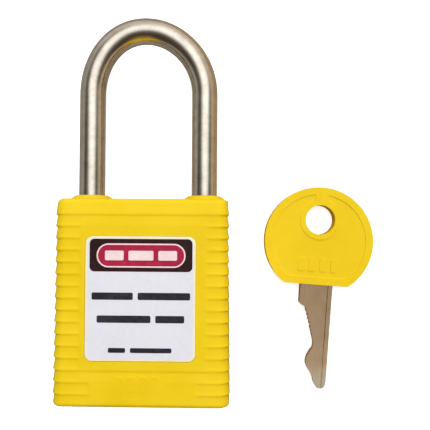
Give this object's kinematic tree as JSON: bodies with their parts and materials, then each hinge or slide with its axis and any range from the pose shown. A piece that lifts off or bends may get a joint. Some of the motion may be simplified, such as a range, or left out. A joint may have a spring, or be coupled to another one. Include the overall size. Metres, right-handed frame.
{
  "type": "safety padlock",
  "caption": "Lockout padlock with a ribbed yellow plastic body, round steel shackle, pin-tumbler cylinder in its foot and a blank warning label, lying on its back beside its key",
  "frame": {"origin": "middle of the body's flat back, which lies on Z = 0", "axes": "+X across the body towards the key, +Y from the foot towards the shackle's crown, +Z out of the labelled front face"},
  "size_m": [0.0718, 0.0862, 0.0201],
  "materials": {
    "yellow_plastic": "moulded yellow nylon, satin",
    "label_film": "printed plastic label, satin",
    "polished_steel": "polished plated steel",
    "spring_steel": "drawn spring wire and hardened pin",
    "brass": "machined brass",
    "nickel_silver": "stamped and milled nickel silver"
  },
  "bodies": {
    "lock_body": {"body_shell": "yellow_plastic", "label_plate": "label_film", "foot_cap": "yellow_plastic", "cap_screw_1": "polished_steel", "cap_screw_2": "polished_steel", "heel_stop_pin": "spring_steel", "spacer_sleeve": "brass", "cylinder_housing": "brass", "chamber_cover": "brass", "shackle_spring": "spring_steel", "driver_pin_1": "brass", "driver_pin_2": "brass", "driver_pin_3": "brass", "driver_pin_4": "brass", "driver_pin_5": "brass", "pin_spring_1": "spring_steel", "pin_spring_2": "spring_steel", "pin_spring_3": "spring_steel", "pin_spring_4": "spring_steel", "pin_spring_5": "spring_steel"},
    "plug_group": {"plug": "brass", "plug_clip": "spring_steel", "cam": "polished_steel", "key_pin_1": "brass", "key_pin_2": "brass", "key_pin_3": "brass", "key_pin_4": "brass", "key_pin_5": "brass"},
    "right_bolt": {"locking_bolt_right": "polished_steel"},
    "left_bolt": {"locking_bolt_left": "polished_steel"},
    "shackle_rod": {"shackle": "polished_steel"},
    "loose_key": {"key_head": "yellow_plastic", "key_blade": "nickel_silver"}
  },
  "joints": [
    {"name": "plug_turn", "type": "hinge", "parent": "lock_body", "child": "plug_group", "pos_m": [0, 0, 0.01], "axis": [0, 1, 0], "range_deg": [0, 90]},
    {"name": "right_bolt_slide", "type": "slide", "parent": "lock_body", "child": "right_bolt", "axis": [-1, 0, 0], "range_m": [0, 0.003]},
    {"name": "left_bolt_slide", "type": "slide", "parent": "lock_body", "child": "left_bolt", "axis": [1, 0, 0], "range_m": [0, 0.003]},
    {"name": "shackle_lift", "type": "slide", "parent": "lock_body", "child": "shackle_rod", "axis": [0, 1, 0], "range_m": [0, 0.0134], "deforming": ["shackle_spring"]},
    {"name": "key_lift_off", "type": "slide", "parent": "lock_body", "child": "loose_key", "axis": [0, 0, 1], "range_m": [0, 0.06]}
  ],
  "couplings": [
    {"joint": "plug_turn", "follows": "shackle_lift", "rad_per_m": 117.22},
    {"joint": "right_bolt_slide", "follows": "shackle_lift", "ratio": 0.22388},
    {"joint": "left_bolt_slide", "follows": "shackle_lift", "ratio": 0.22388}
  ]
}
